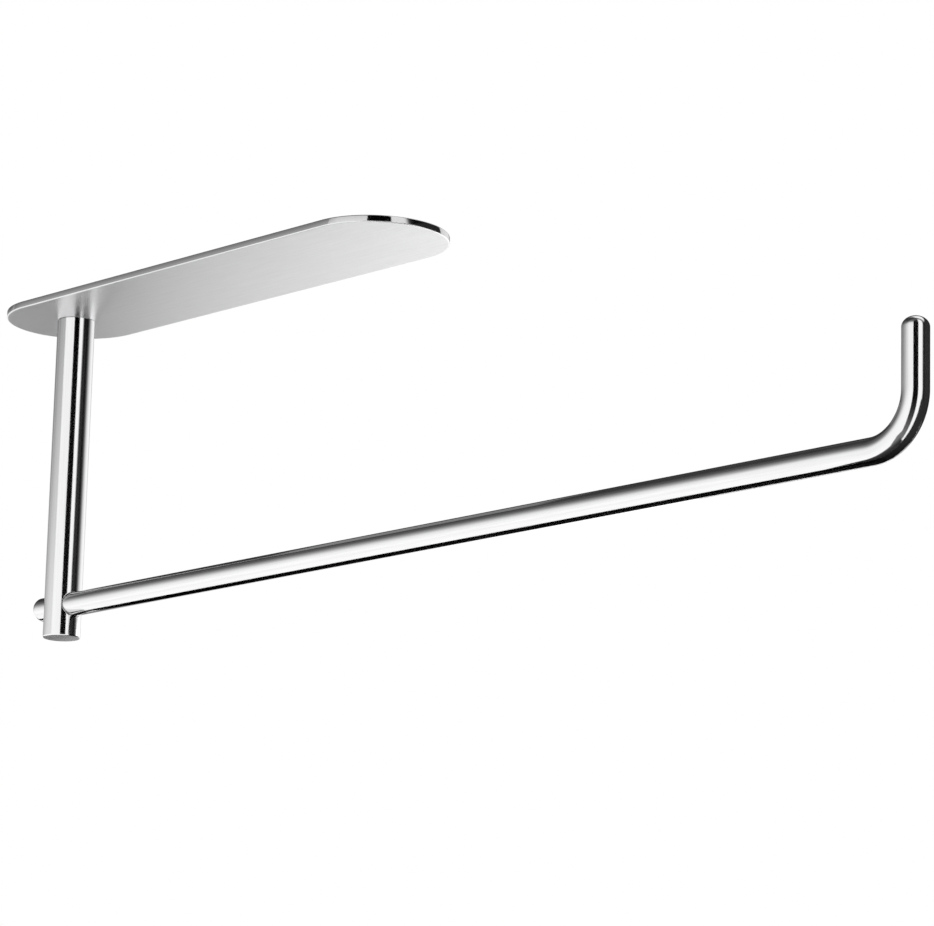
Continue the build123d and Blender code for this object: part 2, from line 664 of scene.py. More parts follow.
class ShapeTree:
    """A Geometry Nodes tree with named inputs, and the modifier that runs it once."""

    def __init__(self, name: str, sizes: Mapping[str, float], counts: Mapping[str, int]) -> None:
        """Makes the tree and its inputs.

        Args:
            name: the tree's name.
            sizes: the inputs that are numbers.
            counts: the inputs that are whole numbers.
        """
        self.tree = bpy.data.node_groups.new(name, "GeometryNodeTree")
        self.graph = Graph(self.tree)
        self.values: dict[str, Any] = {**sizes, **counts}
        self.tree.interface.new_socket(
            "Geometry", in_out="OUTPUT", socket_type="NodeSocketGeometry"
        )
        kinds = [("Geometry", "Geometry"), *((key, "Float") for key in sizes)]
        kinds += [*((key, "Int") for key in counts), ("Material", "Material")]
        for key, kind in kinds:
            self.tree.interface.new_socket(key, in_out="INPUT", socket_type=f"NodeSocket{kind}")
        self.inputs = self.graph.node("NodeGroupInput")

    def end(self, geometry: Signal) -> None:
        """Closes the tree: smooth faces, no instances, and the material that was asked for.

        Args:
            geometry: what the tree has made.
        """
        smooth = self.graph.node("GeometryNodeSetShadeSmooth", {"Geometry": geometry})
        real = self.graph.node("GeometryNodeRealizeInstances", {"Geometry": smooth})
        places = {"Geometry": real, "Material": self.inputs.out("Material")}
        self.graph.node("NodeGroupOutput", {0: self.graph.node("GeometryNodeSetMaterial", places)})

    def run(self, carrier: bpy.types.Object, material: bpy.types.Material) -> bpy.types.Mesh:
        """Runs the tree on an object, and removes its modifier and the object.

        Args:
            carrier: the object whose mesh the tree is given.
            material: the material for the result.

        Returns:
            The result as a plain mesh.
        """
        modifier = carrier.modifiers.new(self.tree.name, "NODES")
        modifier.node_group = self.tree
        given = {**self.values, "Material": material}
        for item in self.tree.interface.items_tree:
            if item.in_out == "INPUT" and item.name in given:
                modifier[item.identifier] = given[item.name]
        depsgraph = bpy.context.evaluated_depsgraph_get()
        mesh = bpy.data.meshes.new_from_object(
            carrier.evaluated_get(depsgraph), preserve_all_data_layers=True, depsgraph=depsgraph
        )
        carrier.modifiers.remove(modifier)
        bpy.data.objects.remove(carrier)
        mesh.materials.clear()
        return mesh


def bent_bar_tree(sizes: Mapping[str, float], counts: Mapping[str, int]) -> ShapeTree:
    """A round bar along a straight run, a bend and a short upright, with a dome on both ends.

    Args:
        sizes: "Short End X", "Raised End X", "Axis Level", "Crown Level", "Bar Radius",
            "Bend Radius" and "Crown Height", in metres.
        counts: "Rings" between the domes, "Dome Rings", "Bend Rings" and "Sides" of the bar.

    Returns:
        The tree.
    """
    shape = ShapeTree("bent_bar", sizes, counts)
    graph, given = shape.graph, shape.inputs
    index = graph.node("GeometryNodeInputIndex")
    spine = _bar_spine(graph, given, index)
    length = graph.node("GeometryNodeCurveLength", {"Curve": spine})
    dome_rings, rings = given.out("Dome Rings"), given.out("Rings")
    last = rings + dome_rings * 2.0
    quarter = math.pi / 2
    start_turn = (index / dome_rings).clamped() * quarter
    end_turn = ((last - index) / dome_rings).clamped() * quarter
    between = ((index - dome_rings) / rings).clamped()
    crown = given.out("Crown Height")
    along = (
        crown * (1.0 - start_turn.cosine())
        + (length - crown * 2.0) * between
        + crown * end_turn.cosine()
    )
    sampled = graph.node(
        "GeometryNodeSampleCurve",
        {"Curves": spine, "Length": along},
        mode="LENGTH",
        use_all_curves=True,
    )
    centreline = graph.point_curve(last + 1.0, sampled.out("Position"))
    marked = graph.stored(centreline, "bar_along", along, "FLOAT")
    sweep = {
        "Curve": marked,
        "Profile Curve": _bar_section(graph, given),
        "Scale": start_turn.sine() * end_turn.sine(),
    }
    swept = graph.node("GeometryNodeCurveToMesh", sweep)
    weld = {"Geometry": swept, "Distance": 0.01 * MM}
    shape.end(_with_bar_place(graph, graph.node("GeometryNodeMergeByDistance", weld)))
    return shape


def _bar_spine(graph: Graph, given: Signal, index: Signal) -> Signal:
    """The bar's centreline: two straight runs and the bend between them.

    Args:
        graph: the tree's graph.
        given: the tree's inputs.
        index: the index field.

    Returns:
        The curve.
    """
    short, raised = given.out("Short End X"), given.out("Raised End X")
    axis, crown = given.out("Axis Level"), given.out("Crown Level")
    past_first = index.clamped()
    past_second = (index - 1.0).clamped()
    x = short + (raised - short) * past_first
    z = axis + (crown - axis) * past_second
    corner = graph.node("ShaderNodeCombineXYZ", {"X": x, "Z": z})
    runs = graph.point_curve(3, corner)
    bend = {"Curve": runs, "Count": given.out("Bend Rings"), "Radius": given.out("Bend Radius")}
    return graph.node("GeometryNodeFilletCurve", bend, mode="POLY")


def _bar_section(graph: Graph, given: Signal) -> Signal:
    """The bar's round section, which remembers where each of its points is.

    Args:
        graph: the tree's graph.
        given: the tree's inputs.

    Returns:
        The section as a curve.
    """
    places = {"Resolution": given.out("Sides"), "Radius": given.out("Bar Radius")}
    section = graph.node("GeometryNodeCurvePrimitiveCircle", places, mode="RADIUS")
    place = graph.node("GeometryNodeInputPosition")
    return graph.stored(section, "bar_round", place, "FLOAT_VECTOR")


def _with_bar_place(graph: Graph, mesh: Signal) -> Signal:
    """Stores on each point of the bar where it would be if the bar were straight.

    Args:
        graph: the tree's graph.
        mesh: the bar.

    Returns:
        The bar with the attribute.
    """
    along, around = (
        graph.node("GeometryNodeInputNamedAttribute", {"Name": name}, data_type=kind)
        for name, kind in (("bar_along", "FLOAT"), ("bar_round", "FLOAT_VECTOR"))
    )
    across, up, _ = graph.parts(around)
    place = graph.node("ShaderNodeCombineXYZ", {"X": along, "Y": across, "Z": up})
    return graph.stored(mesh, BAR_PLACE, place, "FLOAT_VECTOR")


def thread_tree(sizes: Mapping[str, float]) -> ShapeTree:
    """Cuts a helical thread into the shank of a turned blank that stands on the Z axis.

    Args:
        sizes: "Outer Radius", "Pitch", "Depth", "Thread Top", "Thread Bottom" and "Run-out",
            in metres.

    Returns:
        The tree.
    """
    flat = 0.12  # share of the pitch that the crest takes, and the root too
    shank_from, shank_rise = 0.97, 100.0  # where the shank starts, as a share of its radius
    shape = ShapeTree("cut_thread", sizes, {})
    graph, given = shape.graph, shape.inputs
    x, y, z = graph.parts(graph.node("GeometryNodeInputPosition"))
    distance = (x * x + y * y) ** 0.5
    turn = y.angle_with(x) / (2 * math.pi)
    phase = (z / given.out("Pitch") - turn).fraction()
    groove = (1.0 - (phase - 0.5).absolute() * 2.0 - flat).at_least(0.0) / (1 - 2 * flat)
    run_out = given.out("Run-out")
    below_top = ((given.out("Thread Top") - z) / run_out).clamped()
    above_bottom = ((z - given.out("Thread Bottom")) / run_out).clamped()
    on_shank = ((distance / given.out("Outer Radius") - shank_from) * shank_rise).clamped()
    cut = groove.at_most(1.0) * below_top * above_bottom * on_shank * given.out("Depth")
    share = cut * -1.0 / distance.at_least(0.001 * MM)
    inwards = graph.node("ShaderNodeCombineXYZ", {"X": x * share, "Y": y * share})
    places = {"Geometry": given.out("Geometry"), "Offset": inwards}
    shape.end(graph.node("GeometryNodeSetPosition", places))
    return shape


# ---- The holder's pieces --------------------------------------------------------------------


def settle(piece: bpy.types.Object, node: str) -> None:
    """Puts a finished piece in place of a frame node and logs it.

    Args:
        piece: the finished object, at the origin.
        node: the frame node that it stands for.
    """
    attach(piece, BODY)
    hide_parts(node)
    LOG.info("%s: %d faces, for %s", piece.name, len(piece.data.polygons), node)


@dataclass
class MountingPlate:
    """Oblong brushed plate with rounded arrises and a countersunk hole for the post's screw.

    Attributes:
        arris: radius of the rounding along both rims.
        arris_steps: segments across that rounding.
        support: width of the flat border that keeps the faces' shading flat.
        sink_radius: countersink at the upper face.
        sink_land: height of the straight stretch above its cone.
        sink_sides: segments round it.
        end_count: segments in each rounded end.
        side_count: segments in each straight side.
        low: lowest corner of the plate's box.
        high: highest corner of the plate's box.
    """

    arris: float = 0.3 * MM
    arris_steps: int = 5
    support: float = 0.3 * MM
    sink_radius: float = 4.02 * MM
    sink_land: float = 0.25 * MM
    sink_sides: int = 64
    end_count: int = 160
    side_count: int = 24
    low: Vector = field(init=False)
    high: Vector = field(init=False)

    def __post_init__(self) -> None:
        """Reads the plate's box."""
        self.low, self.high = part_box("mounting_plate")

    def _outline(self, inset: float, level: float) -> list[Vector]:
        """The plate's outline, moved in by inset, at a level."""
        return oblong(self.high - self.low, inset, level, self.end_count, self.side_count)

    def build(self, face: bpy.types.Material, rim: bpy.types.Material) -> bpy.types.Object:
        """Makes the plate.

        Args:
            face: finish of the two broad faces.
            rim: finish of the side.

        Returns:
            The plate, which other pieces don't reflect: a glowing card above it paints the plate's
            reflection there.
        """
        mesh = RingMesh()
        edge = rounded_edge(self.arris, self.arris_steps)
        border = self.arris + self.support
        lower = [mesh.ring(self._outline(inset, self.low.z + rise)) for inset, rise in edge]
        upper = [mesh.ring(self._outline(inset, self.high.z - rise)) for inset, rise in edge]
        under_border = mesh.ring(self._outline(border, self.low.z))
        top_border = mesh.ring(self._outline(border, self.high.z))
        mesh.bridge_all([under_border] + lower)
        mesh.bridge_all([lower[-1]] + upper[::-1], material=1)
        mesh.bridge(upper[0], top_border)
        self._fill_faces(mesh, under_border, top_border)
        plate = mesh.finish("mounting_plate_shell", [face, rim])
        plate.visible_glossy = False
        return plate

    def _fill_faces(self, mesh: RingMesh, under_border: Ring, top_border: Ring) -> None:
        """Fills both broad faces round the countersink, whose cone runs right through.

        Args:
            mesh: the plate so far.
            under_border: the ring inside the lower rim.
            top_border: the ring inside the upper rim.
        """
        post_low, post_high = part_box("post")
        centre = (post_low + post_high).xy / 2
        land_foot = self.high.z - self.sink_land
        foot_radius = self.sink_radius - (land_foot - self.low.z)
        hole = [
            mesh.ring(circle(centre, radius, level, self.sink_sides))
            for radius, level in (
                (self.sink_radius, self.high.z),
                (self.sink_radius, land_foot),
                (foot_radius, self.low.z),
            )
        ]
        mesh.bridge_all(hole)
        mesh.fill_between(top_border, hole[0])
        mesh.fill_between(under_border, hole[-1])


@dataclass
class MountingTape:
    """Foam tape on the plate's upper face, cut to the plate's shape.

    Attributes:
        squeeze: how far the cut side bulges where the foam is pressed.
        side_steps: segments up that side.
        wander: how far the cut line wanders from a true oblong.
        long_wave: radians to a metre of its longer wave.
        short_wave: radians to a metre of its shorter wave.
        long_share: the longer wave's share of the wandering.
        end_count: segments in each rounded end.
        side_count: segments in each straight side.
        low: lowest corner of the tape's box.
        high: highest corner of the tape's box.
    """

    squeeze: float = 0.18 * MM
    side_steps: int = 6
    wander: float = 0.08 * MM
    long_wave: float = 410.0
    short_wave: float = 1370.0
    long_share: float = 0.6
    end_count: int = 96
    side_count: int = 80
    low: Vector = field(init=False)
    high: Vector = field(init=False)

    def __post_init__(self) -> None:
        """Reads the tape's box."""
        self.low, self.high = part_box("mounting_tape")

    def build(self, foam: bpy.types.Material) -> bpy.types.Object:
        """Makes the tape.

        Args:
            foam: its finish.

        Returns:
            The tape, which other pieces don't reflect, because the plate is over them.
        """
        mesh = RingMesh()
        size = self.high - self.low
        rings = []
        for step in range(self.side_steps + 1):
            share = step / self.side_steps
            inset = self.squeeze * (1 - math.sin(math.pi * share)) + self.wander
            level = self.low.z + share * size.z
            outline = oblong(size, inset, level, self.end_count, self.side_count)
            rings.append(mesh.ring(self._wandered(outline, share)))
        mesh.bridge_all(rings)
        mesh.strip_cap(rings[0])
        mesh.strip_cap(rings[-1])
        tape = mesh.finish("mounting_tape_foam", [foam])
        tape.visible_glossy = False
        return tape

    def _wandered(self, outline: Sequence[Vector], share: float) -> list[Vector]:
        """The outline with a knife's small waves in it, the same on both halves.

        Args:
            outline: the true outline.
            share: how far up the side it is, from 0 to 1.

        Returns:
            The wavy outline.
        """
        waved = []
        for point in outline:
            wave = math.sin(point.x * self.long_wave + share) * self.long_share
            wave += math.sin(point.x * self.short_wave) * (1 - self.long_share)
            scale = 1 + self.wander * wave / max(abs(point.y), 5 * MM)
            waved.append(Vector((point.x, point.y * scale, point.z)))
        return waved


@dataclass
class Post:
    """Solid round post with a cross hole for the arm, a grub screw's hole and a tapped top.

    Attributes:
        columns: segments round the post.
        band_rows: rows of the band that holds the cross hole and the grub screw's hole.
        band_half_height: half of that band's height.
        upper_rows: rows of the side above that band.
        cross_columns: columns that the area round each mouth of the cross hole takes.
        grub_columns: columns that the area round the grub screw's hole takes.
        area_rows: where such an area has its rings, as shares of the way out from the mouth.
        mouth_rows: where the rounding of a mouth has its rings, as shares of its curve.
        cross_clearance: gap round the arm in its hole.
        cross_edge: width of the rounding at the cross hole's mouths.
        grub_edge: width of the rounding at the grub screw's hole.
        grub_gap: gap round the grub screw.
        grub_pocket: depth of the grub screw's hole.
        end_edge: rounding of the lower end.
        end_steps: segments across it.
        end_rings: where the lower face has its rings, as shares of the post's radius.
        seat_edge: rounding of the upper end.
        seat_steps: segments across it.
        seat_ring: where the upper face has a ring, as a share of the post's radius.
        tapped_radius: radius of the tapped hole.
        tapped_mouth: chamfer at its mouth.
        tapped_depth: its depth.
        drill_half_angle: half of the angle of its conical floor, in degrees.
        low: lowest corner of the post's box.
        high: highest corner of the post's box.
        arm_level: height of the arm's axis.
        cross_radius: radius of the cross hole.
        grub_radius: radius of the grub screw's hole.
    """

    columns: int = 120
    band_rows: int = 24
    band_half_height: float = 7.2 * MM
    upper_rows: int = 16
    cross_columns: int = 38
    grub_columns: int = 22
    area_rows: tuple[float, ...] = (0.62, 0.36, 0.18, 0.07, 0.0)
    mouth_rows: tuple[float, ...] = (0.2, 0.4, 0.6, 0.8, 1.0)
    cross_clearance: float = 0.05 * MM
    cross_edge: float = 0.4 * MM
    grub_edge: float = 0.15 * MM
    grub_gap: float = 0.02 * MM
    grub_pocket: float = 1.75 * MM
    end_edge: float = 0.35 * MM
    end_steps: int = 6
    end_rings: tuple[float, ...] = (0.3, 0.6, 0.85, 0.925)
    seat_edge: float = 0.15 * MM
    seat_steps: int = 4
    seat_ring: float = 0.95
    tapped_radius: float = 2.02 * MM
    tapped_mouth: float = 0.3 * MM
    tapped_depth: float = 11.7 * MM
    drill_half_angle: float = 59.0
    low: Vector = field(init=False)
    high: Vector = field(init=False)
    arm_level: float = field(init=False)
    cross_radius: float = field(init=False)
    grub_radius: float = field(init=False)

    def __post_init__(self) -> None:
        """Reads the boxes of the post, the arm and the grub screw."""
        self.low, self.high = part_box("post")
        arm_low, arm_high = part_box("arm")
        arm_radius = (arm_high.y - arm_low.y) / 2
        self.arm_level = arm_low.z + arm_radius
        self.cross_radius = arm_radius + self.cross_clearance
        grub_low, grub_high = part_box("arm_grub_screw")
        self.grub_radius = (grub_high.x - grub_low.x) / 2 + self.grub_gap

    @property
    def radius(self) -> float:
        """The post's radius."""
        return (self.high.x - self.low.x) / 2

    @property
    def centre(self) -> Vector:
        """The post's axis as (x, y)."""
        return (self.low + self.high).xy / 2

    def build(self, side: bpy.types.Material, end: bpy.types.Material) -> bpy.types.Object:
        """Makes the post.

        Args:
            side: finish of the long side.
            end: finish of the two turned ends.

        Returns:
            The post.
        """
        mesh = RingMesh()
        band_low, band_high = self._band(mesh)
        self._lower_end(mesh, band_low)
        self._upper_end(mesh, band_high)
        piece = mesh.finish("post_bar", [side, end])
        self._shade_side(piece.data)
        return piece

    def _shade_side(self, mesh: bpy.types.Mesh) -> None:
        """Gives the points on the long side the normals of a true cylinder.

        Args:
            mesh: the finished post.
        """
        normals = []
        for vertex in mesh.vertices:
            out = vertex.co.xy - self.centre
            on_side = abs(out.length - self.radius) < 0.001 * MM
            normals.append(out.normalized().to_3d() if on_side else Vector())
        mesh.normals_split_custom_set_from_vertices(normals)

    def _on_side(self, arc: float, rise: float, middle: float) -> Vector:
        """A point on the side, arc metres round from the angle middle, rise above the arm."""
        angle = middle + arc / self.radius
        out = Vector((math.cos(angle), math.sin(angle))) * self.radius
        return (self.centre + out).to_3d() + Vector((0, 0, self.arm_level + rise))

    def _side_place(self, point: Vector, middle: float) -> tuple[float, float]:
        """A side point as (metres round from the angle middle, metres above the arm's axis).

        Args:
            point: the point.
            middle: the angle in radians.

        Returns:
            The two distances.
        """
        angle = math.atan2(point.y - self.centre.y, point.x - self.centre.x) - middle
        angle = (angle + math.pi) % (2 * math.pi) - math.pi
        return angle * self.radius, point.z - self.arm_level

    def _ring(self, radius: float, level: float) -> list[Vector]:
        """A level ring about the post's axis."""
        return circle(self.centre, radius, level, self.columns)

    def _band(self, mesh: RingMesh) -> tuple[Ring, Ring]:
        """The stretch of the side with the holes in it.

        Args:
            mesh: the post so far.

        Returns:
            The band's lowest and highest rings.
        """
        holes = self._hole_columns()
        wrap = self.columns
        inside = {c % wrap for start, end, _ in holes for c in range(start + 1, end)}
        covered = {c % wrap for start, end, _ in holes for c in range(start, end)}
        grid: list[Ring] = []
        for row in range(self.band_rows + 1):
            level = self.arm_level + self.band_half_height * (2 * row / self.band_rows - 1)
            gaps = set() if row in (0, self.band_rows) else inside
            grid.append([
                None if column in gaps else mesh.bm.verts.new(point)
                for column, point in enumerate(self._ring(self.radius, level))
            ])
        for lower, upper in zip(grid, grid[1:]):
            for column in sorted(set(range(wrap)) - covered):
                after = (column + 1) % wrap
                corners = (lower[column], lower[after], upper[after], upper[column])
                mesh.bm.faces.new(corners)
        mouths = [self._mouth(mesh, grid, *hole) for hole in holes]
        self._join_mouths(mesh, mouths[0], mouths[2])
        self._close_pocket(mesh, mouths[1])
        return grid[0], grid[-1]

    def _hole_columns(self) -> list[tuple[int, int, float]]:
        """The area of each hole's mouth: the cross hole's first, the grub screw's, its other.

        Returns:
            (first column, last column, hole radius) of each area.
        """
        quarter = self.columns // 4
        half_cross, half_grub = self.cross_columns // 2, self.grub_columns // 2
        return [
            (-half_cross, half_cross, self.cross_radius),
            (quarter - half_grub, quarter + half_grub, self.grub_radius),
            (2 * quarter - half_cross, 2 * quarter + half_cross, self.cross_radius),
        ]

    def _mouth(
        self, mesh: RingMesh, grid: list[Ring], start: int, end: int, radius: float
    ) -> Ring:
        """Fills the area round a hole's mouth and rounds the mouth's edge.

        Args:
            mesh: the post so far.
            grid: the band's vertices, row by row.
            start: the area's first column.
            end: its last column.
            radius: the hole's radius.

        Returns:
            The ring where the rounded edge meets the hole's wall.
        """
        rows, wrap = self.band_rows, self.columns
        border = [grid[0][c % wrap] for c in range(start, end)]
        border += [grid[r][end % wrap] for r in range(rows)]
        border += [grid[rows][c % wrap] for c in range(end, start, -1)]
        border += [grid[r][start % wrap] for r in range(rows, 0, -1)]
        middle = math.pi * (start + end) / wrap
        edge = self.cross_edge if radius == self.cross_radius else self.grub_edge
        inwards = Vector((math.cos(middle), math.sin(middle), 0)) * -edge
        spans, corners = [], []
        for vertex in border:
            far = Vector(self._side_place(vertex.co, middle))
            turn = math.atan2(far.y, self.radius * math.sin(far.x / self.radius))
            across = radius * math.cos(turn) / self.radius
            rim = Vector((self.radius * math.asin(across), radius * math.sin(turn)))
            slope = math.sqrt(1 - across**2)
            out = Vector((math.cos(turn), math.sin(turn) / slope)).normalized() * edge
            spans.append((rim + out, far))
            corners.append(self._on_side(rim.x, rim.y, middle))
        rings = [border]
        for share in self.area_rows:
            steps = (near.lerp(far, share) for near, far in spans)
            rings.append(mesh.ring(self._on_side(step.x, step.y, middle) for step in steps))
        starts = [vertex.co.copy() for vertex in rings[-1]]
        for share in self.mouth_rows:
            rings.append(mesh.ring(
                a.lerp(b, share).lerp(b.lerp(b + inwards, share), share)
                for a, b in zip(starts, corners)
            ))
        mesh.bridge_all(rings)
        return rings[-1]

    def _join_mouths(self, mesh: RingMesh, first: Ring, second: Ring) -> None:
        """Joins the two mouths of the cross hole with the hole's wall.

        Args:
            mesh: the post so far.
            first: the ring inside one mouth.
            second: the ring inside the other.
        """
        matched = [
            min(second, key=lambda other: (other.co.yz - vertex.co.yz).length)
            for vertex in first
        ]
        mesh.bridge(first, matched)

    def _close_pocket(self, mesh: RingMesh, mouth: Ring) -> None:
        """Ends the grub screw's hole short of the cross hole, behind the screw.

        Args:
            mesh: the post so far.
            mouth: the ring inside the hole's mouth.
        """
        floor_y = self.centre.y + self.radius - self.grub_pocket
        floor = mesh.ring((v.co.x, floor_y, v.co.z) for v in mouth)
        mesh.bridge(mouth, floor)
        mesh.point_cap(floor, (self.centre.x, floor_y, self.arm_level))

    def _lower_end(self, mesh: RingMesh, band: Ring) -> None:
        """The side below the band, the rounded lower edge and the turned lower face.

        Args:
            mesh: the post so far.
            band: the band's lowest ring.
        """
        edge = [
            mesh.ring(self._ring(self.radius - inset, self.low.z + rise))
            for inset, rise in rounded_edge(self.end_edge, self.end_steps)
        ]
        flat = [mesh.ring(self._ring(self.radius * k, self.low.z)) for k in self.end_rings]
        mesh.point_cap(flat[0], (*self.centre, self.low.z), material=1)
        mesh.bridge_all(flat + [edge[0]], material=1)
        mesh.bridge_all(edge + [band])

    def _upper_end(self, mesh: RingMesh, band: Ring) -> None:
        """The long side above the band, the rounded upper edge, and the tapped hole.

        Args:
            mesh: the post so far.
            band: the band's highest ring.
        """
        edge = [
            mesh.ring(self._ring(self.radius - inset, self.high.z - rise))
            for inset, rise in rounded_edge(self.seat_edge, self.seat_steps)
        ]
        foot, rows = band[0].co.z, self.upper_rows
        side = [
            mesh.ring(self._ring(self.radius, foot + (edge[-1][0].co.z - foot) * k / rows))
            for k in range(1, rows)
        ]
        mesh.bridge_all([band] + side + edge[::-1])
        floor = self.high.z - self.tapped_depth
        tapped = [
            mesh.ring(self._ring(radius, level))
            for radius, level in (
                (self.radius * self.seat_ring, self.high.z),
                (self.tapped_radius + self.tapped_mouth, self.high.z),
                (self.tapped_radius, self.high.z - self.tapped_mouth),
                (self.tapped_radius, floor),
            )
        ]
        mesh.bridge_all([edge[0]] + tapped, material=1)
        point = self.tapped_radius / math.tan(math.radians(self.drill_half_angle))
        mesh.point_cap(tapped[-1], (*self.centre, floor - point), material=1)


@dataclass
class Arm:
    """Round bar that the roll slides onto, bent up at its far end.

    Attributes:
        bend_radius: radius of the bend's centreline.
        crown_height: height of the dome on each end.
        rings: rings along the bar between the domes.
        dome_rings: rings over each dome.
        bend_rings: points of the centreline in the bend.
        sides: segments round the bar.
    """

    bend_radius: float = 13.5 * MM
    crown_height: float = 2.8 * MM
    rings: int = 520
    dome_rings: int = 20
    bend_rings: int = 96
    sides: int = 72

    def build(self, finish: bpy.types.Material) -> bpy.types.Object:
        """Makes the arm.

        Args:
            finish: the bar's finish.

        Returns:
            The arm.
        """
        low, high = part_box("arm")
        radius = (high.y - low.y) / 2
        sizes = {
            "Short End X": low.x,
            "Raised End X": high.x - radius,
            "Axis Level": low.z + radius,
            "Crown Level": high.z,
            "Bar Radius": radius,
            "Bend Radius": self.bend_radius,
            "Crown Height": self.crown_height,
        }
        counts = {
            "Rings": self.rings,
            "Dome Rings": self.dome_rings,
            "Bend Rings": self.bend_rings,
            "Sides": self.sides,
        }
        carrier = linked("arm_carrier", bpy.data.meshes.new("arm_carrier"))
        bar = RingMesh()
        bar.bm.from_mesh(bent_bar_tree(sizes, counts).run(carrier, finish))
        return bar.finish("arm_bar", [finish])


@dataclass
class SocketScrew:
    """A hexagon-socket screw with a real helical thread, turned on its own axis.

    Attributes:
        name: the piece's name.
        node: the frame node that it stands for.
        outline: (radius, height) pairs from the rim of the driven end down to the tip's edge,
            where height 0 is the driven end.
        tip: height of the tip's centre.
        socket: width of the hexagon across its flats.
        socket_depth: its depth.
        thread: the thread tree's sizes.
        place: what turns the finished screw from the Z axis onto its own.
        sides: segments round the screw.
        row_height: height of the rows that the thread is cut into.
    """

    name: str
    node: str
    outline: Sequence[tuple[float, float]]
    tip: float
    socket: float
    socket_depth: float
    thread: Mapping[str, float]
    place: Matrix
    sides: int = 72
    row_height: float = 0.06 * MM

    def build(self, finish: bpy.types.Material) -> bpy.types.Object:
        """Makes the screw.

        Args:
            finish: its finish.

        Returns:
            The screw, in its place.
        """
        mesh = RingMesh()
        rings = [
            mesh.ring(hexagon(self.socket, level, self.sides))
            for level in (-self.socket_depth, 0.0)
        ]
        mesh.point_cap(rings[0], (0, 0, -self.socket_depth - self.socket / 6))
        for radius, height in self._rows():
            rings.append(mesh.ring(circle((0, 0), radius, height, self.sides)))
        mesh.bridge_all(rings)
        mesh.point_cap(rings[-1], (0, 0, self.tip))
        blank = mesh.finish(f"{self.name}_blank", [finish])
        threaded = thread_tree(self.thread).run(blank, finish)
        threaded.transform(self.place)
        return smooth_object(self.name, threaded, [finish])

    def _rows(self) -> list[tuple[float, float]]:
        """The outline with rows close enough together for the thread.

        Returns:
            (radius, height) pairs.
        """
        rows = [self.outline[0]]
        for (r0, h0), (r1, h1) in zip(self.outline, self.outline[1:]):
            steps = max(1, round(abs(h1 - h0) / self.row_height)) if r0 == r1 else 1
            for k in range(1, steps + 1):
                rows.append((r0 + (r1 - r0) * k / steps, h0 + (h1 - h0) * k / steps))
        return rows


def post_screw() -> SocketScrew:
    """The countersunk screw that holds the post under the plate.

    Returns:
        The screw, not yet built.
    """
    low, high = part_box("post_screw")
    radius, head, rim = 2.0 * MM, (high.x - low.x) / 2, 0.05 * MM
    land, chamfer = 0.2 * MM, 0.4 * MM
    length = high.z - low.z
    cone_foot = -land - (head - radius)
    outline = [
        (head - rim, 0.0),
        (head, -rim),
        (head, -land),
        (radius, cone_foot),
        (radius, -length + chamfer),
        (radius - chamfer, -length),
    ]
    thread = {
        "Outer Radius": radius,
        "Pitch": 0.7 * MM,
        "Depth": 0.38 * MM,
        "Thread Top": cone_foot - 0.3 * MM,
        "Thread Bottom": -length + chamfer * 0.2,
        "Run-out": 0.5 * MM,
    }
    centre = (low + high) / 2
    place = Matrix.Translation((centre.x, centre.y, high.z))
    return SocketScrew(
        "post_screw_m4", "post_screw", outline, -length, 2.5 * MM, 1.4 * MM, thread, place
    )


def arm_grub_screw() -> SocketScrew:
    """The cone-point screw that locks the arm in the post.

    Returns:
        The screw, not yet built.
    """
    low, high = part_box("arm_grub_screw")
    radius, rim, point = (high.x - low.x) / 2, 0.12 * MM, 0.08 * MM
    length = high.y - low.y
    cone_top = -length + radius
    outline = [(radius - rim, 0.0), (radius, -rim), (radius, cone_top), (point, -length + point)]
    thread = {
        "Outer Radius": radius,
        "Pitch": 0.5 * MM,
        "Depth": 0.27 * MM,
        "Thread Top": 0.1 * MM,
        "Thread Bottom": cone_top - 0.1 * MM,
        "Run-out": 0.2 * MM,
    }
    centre = (low + high) / 2
    face_plus_y = Matrix.Rotation(math.radians(-90), 4, "X")
    place = Matrix.Translation((centre.x, high.y, centre.z)) @ face_plus_y
    return SocketScrew(
        "grub_screw_m3", "arm_grub_screw", outline, -length, 1.5 * MM, 1.1 * MM, thread, place
    )


# ---- The studio -----------------------------------------------------------------------------


@dataclass(frozen=True)
class SkyPatch:
    """A soft-edged patch of the studio's far walls, as it shows in polished metal.

    Attributes:
        azimuth: bearing of its middle in degrees, from +X towards +Y.
        half_width: half of its width in degrees.
        feather_width: how soft its upright edges are, in degrees.
        elevation: height of its middle in degrees.
        half_height: half of its height in degrees.
        feather_height: how soft its level edges are, in degrees.
        level: its brightness.
    """

    azimuth: float
    half_width: float
    feather_width: float
    elevation: float
    half_height: float
    feather_height: float
    level: float

    def over(self, graph: Graph, below: Signal, azimuth: Signal, elevation: Signal) -> Signal:
        """Lays the patch over what is there.

        Args:
            graph: the world's graph.
            below: the colour that the patch covers.
            azimuth: bearing of the direction that is looked at, in degrees.
            elevation: its height, in degrees.

        Returns:
            The colour with the patch on it.
        """
        sideways = (azimuth - self.azimuth).wrapped(180.0)
        across = sideways.window(self.half_width, self.feather_width)
        upright = (elevation - self.elevation).window(self.half_height, self.feather_height)
        return graph.blend(across * upright, below, (self.level, self.level, self.level, 1.0))


